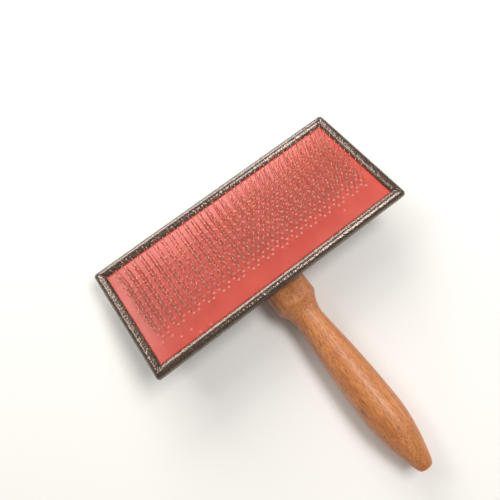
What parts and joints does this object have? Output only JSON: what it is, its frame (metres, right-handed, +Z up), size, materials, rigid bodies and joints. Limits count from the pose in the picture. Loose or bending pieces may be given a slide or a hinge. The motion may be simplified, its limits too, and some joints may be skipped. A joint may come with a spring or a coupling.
{
  "type": "slicker brush",
  "caption": "Pet grooming slicker brush: long rectangular cushioned head of bent wire pins in a rolled metal rim, on a turned wooden handle.",
  "frame": {"origin": "centre of the planed flat under the handle's nose, the face that the brush rests on", "axes": "+Z up, out of the pins' side; the handle points along -Y; the head's long side lies along X"},
  "size_m": [0.11, 0.1238, 0.0263],
  "materials": {
    "handle_wood": "clear varnished hardwood",
    "shell_steel": "glossy leather-grain lacquer",
    "board_fibre": "raw fibreboard",
    "cushion_felt": "felt",
    "facing_rubber": "smooth satin rubber on cloth",
    "screw_steel": "zinc plated",
    "pin_wire": "bright drawn steel wire"
  },
  "bodies": {
    "root": {"handle": "handle_wood", "back_shell": "shell_steel", "backing_board": "board_fibre", "felt_cushion": "cushion_felt", "rubber_facing": "facing_rubber", "head_screw_1": "screw_steel", "head_screw_2": "screw_steel", "head_screw_3": "screw_steel", "pin_row_01": "pin_wire", "pin_row_02": "pin_wire", "pin_row_03": "pin_wire", "pin_row_04": "pin_wire", "pin_row_05": "pin_wire", "pin_row_06": "pin_wire", "pin_row_07": "pin_wire", "pin_row_08": "pin_wire", "pin_row_09": "pin_wire", "pin_row_10": "pin_wire", "pin_row_11": "pin_wire", "pin_row_12": "pin_wire", "pin_row_13": "pin_wire", "pin_row_14": "pin_wire", "pin_row_15": "pin_wire", "pin_row_16": "pin_wire", "pin_row_17": "pin_wire", "pin_row_18": "pin_wire"}
  },
  "joints": []
}
